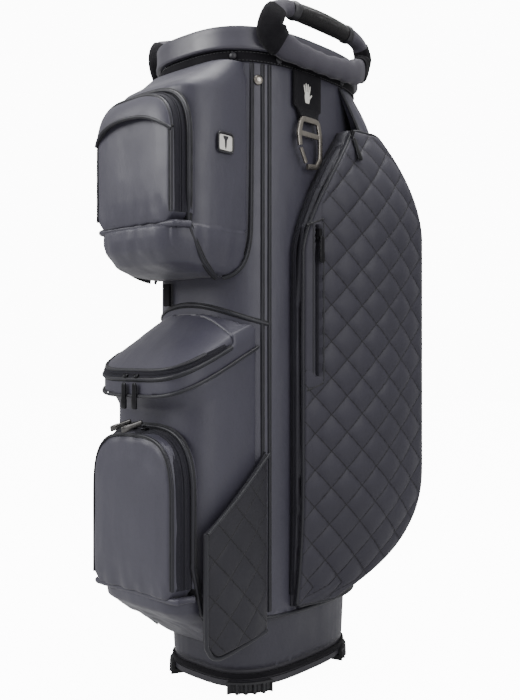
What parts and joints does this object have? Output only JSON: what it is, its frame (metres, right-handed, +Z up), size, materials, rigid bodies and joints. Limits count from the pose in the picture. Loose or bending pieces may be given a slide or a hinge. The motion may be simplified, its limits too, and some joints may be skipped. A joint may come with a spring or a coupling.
{
  "type": "golf cart bag",
  "caption": "Free-standing golf cart bag with a divided top, lift handles, a cooler pocket, hinged zip pockets and a quilted side pocket.",
  "frame": {"origin": "on the ground under the middle of the bag's whole footprint, pockets and back strap included", "axes": "+Z up; -Y is the front, with the cooler and ball pockets; +X is the side with the quilted sleeve and the glove strap"},
  "size_m": [0.356, 0.4636, 0.8968],
  "materials": {
    "leather": "charcoal coated leather, satin grain",
    "quilt": "charcoal coated leather, stitched in diamonds",
    "webbing": "black woven webbing",
    "mesh": "black spacer mesh",
    "moulding": "dark grey moulded plastic, satin",
    "rubber": "black rubber, textured",
    "lining": "black woven lining",
    "steel": "satin champagne-grey metal",
    "badge": "off-white printed badge"
  },
  "bodies": {
    "bag": {"ball_pocket_housing": "leather", "base_band": "webbing", "base_boot": "moulding", "base_foot_1": "rubber", "base_foot_2": "rubber", "base_foot_3": "rubber", "base_foot_4": "rubber", "body_shell": "leather", "collar_band": "webbing", "collar_rivet_1": "moulding", "collar_rivet_2": "moulding", "collar_rivet_3": "moulding", "collar_rivet_4": "moulding", "collar_rivet_5": "moulding", "collar_rivet_6": "moulding", "cooler_box": "leather", "divider_frame": "moulding", "divider_panel_1": "lining", "divider_panel_2": "lining", "divider_panel_3": "lining", "divider_panel_4": "lining", "floor_pad": "lining", "glove_strap": "webbing", "handle_frame_left": "webbing", "handle_frame_right": "webbing", "handle_grip_left": "rubber", "handle_grip_right": "rubber", "handle_pad_left": "mesh", "handle_pad_right": "mesh", "pocket_tag": "webbing", "press_stud": "steel", "shoulder_pad": "mesh", "shoulder_strap": "webbing", "side_housing_left": "leather", "side_housing_right": "leather", "sleeve_right": "quilt", "spine_pad": "mesh", "strap_anchor_lower": "moulding", "strap_anchor_upper": "moulding", "tee_badge": "badge", "top_collar": "moulding", "upper_pocket_housing": "leather"},
    "upper_door": {"upper_pocket_door": "leather", "upper_pocket_hood": "leather"},
    "cooler_lid": {"cooler_lid": "leather"},
    "ball_door": {"ball_pocket_door": "leather"},
    "side_door_right": {"side_door_right": "quilt"},
    "side_door_left": {"side_door_left": "quilt"},
    "valuables_slider": {"valuables_slider": "moulding"},
    "valuables_pull": {"valuables_pull": "moulding"},
    "side_pull_right": {"side_pull_right": "moulding"},
    "side_pull_left": {"side_pull_left": "moulding"},
    "cooler_pull_1": {"cooler_pull_1": "moulding"},
    "cooler_pull_2": {"cooler_pull_2": "moulding"},
    "ball_pull_1": {"ball_pull_1": "steel"},
    "ball_pull_2": {"ball_pull_2": "steel"},
    "carabiner": {"carabiner_frame": "steel"},
    "carabiner_gate": {"carabiner_gate": "steel"}
  },
  "joints": [
    {"name": "upper_door_hinge", "type": "hinge", "parent": "bag", "child": "upper_door", "pos_m": [0, -0.2183, 0.5965], "axis": [1, 0, 0], "range_deg": [0, 70]},
    {"name": "cooler_lid_hinge", "type": "hinge", "parent": "bag", "child": "cooler_lid", "pos_m": [0, -0.1246, 0.4985], "axis": [-1, 0, 0], "range_deg": [0, 52]},
    {"name": "ball_door_hinge", "type": "hinge", "parent": "bag", "child": "ball_door", "pos_m": [0, -0.2183, 0.15], "axis": [1, 0, 0], "range_deg": [0, 60]},
    {"name": "side_door_right_hinge", "type": "hinge", "parent": "bag", "child": "side_door_right", "pos_m": [0.173, 0.1717, 0.43], "axis": [0, 0, 1], "range_deg": [0, 40]},
    {"name": "side_door_left_hinge", "type": "hinge", "parent": "bag", "child": "side_door_left", "pos_m": [-0.173, 0.1717, 0.43], "axis": [0, 0, -1], "range_deg": [0, 40]},
    {"name": "valuables_slide", "type": "slide", "parent": "side_door_right", "child": "valuables_slider", "axis": [0, 0, -1], "range_m": [0, 0.172]},
    {"name": "valuables_pull_swing", "type": "hinge", "parent": "valuables_slider", "child": "valuables_pull", "pos_m": [0.14042, -0.0141, 0.594], "axis": [0, -1, 0], "range_deg": [0, 110]},
    {"name": "side_pull_right_swing", "type": "hinge", "parent": "side_door_right", "child": "side_pull_right", "pos_m": [0.1405, 0.0547, 0.734], "axis": [0, -1, 0], "range_deg": [0, 100]},
    {"name": "side_pull_left_swing", "type": "hinge", "parent": "side_door_left", "child": "side_pull_left", "pos_m": [-0.1405, 0.0547, 0.734], "axis": [0, 1, 0], "range_deg": [0, 100]},
    {"name": "cooler_pull_1_swing", "type": "hinge", "parent": "bag", "child": "cooler_pull_1", "pos_m": [-0.01, -0.2188, 0.406], "axis": [-1, 0, 0], "range_deg": [0, 110]},
    {"name": "cooler_pull_2_swing", "type": "hinge", "parent": "bag", "child": "cooler_pull_2", "pos_m": [0.01, -0.2188, 0.406], "axis": [-1, 0, 0], "range_deg": [0, 110]},
    {"name": "ball_pull_1_swing", "type": "hinge", "parent": "bag", "child": "ball_pull_1", "pos_m": [-0.012, -0.2033, 0.359], "axis": [-1, 0, 0], "range_deg": [0, 75]},
    {"name": "ball_pull_2_swing", "type": "hinge", "parent": "bag", "child": "ball_pull_2", "pos_m": [0.01, -0.2033, 0.359], "axis": [-1, 0, 0], "range_deg": [0, 75]},
    {"name": "carabiner_swing", "type": "hinge", "parent": "bag", "child": "carabiner", "pos_m": [0.1135, -0.0043, 0.748], "axis": [0, -1, 0], "range_deg": [0, 80]},
    {"name": "carabiner_gate_hinge", "type": "hinge", "parent": "carabiner", "child": "carabiner_gate", "pos_m": [0.1135, -0.0128, 0.6905], "axis": [-1, 0, 0], "range_deg": [0, 35], "stiffness_Nm_per_rad": 0.02}
  ]
}
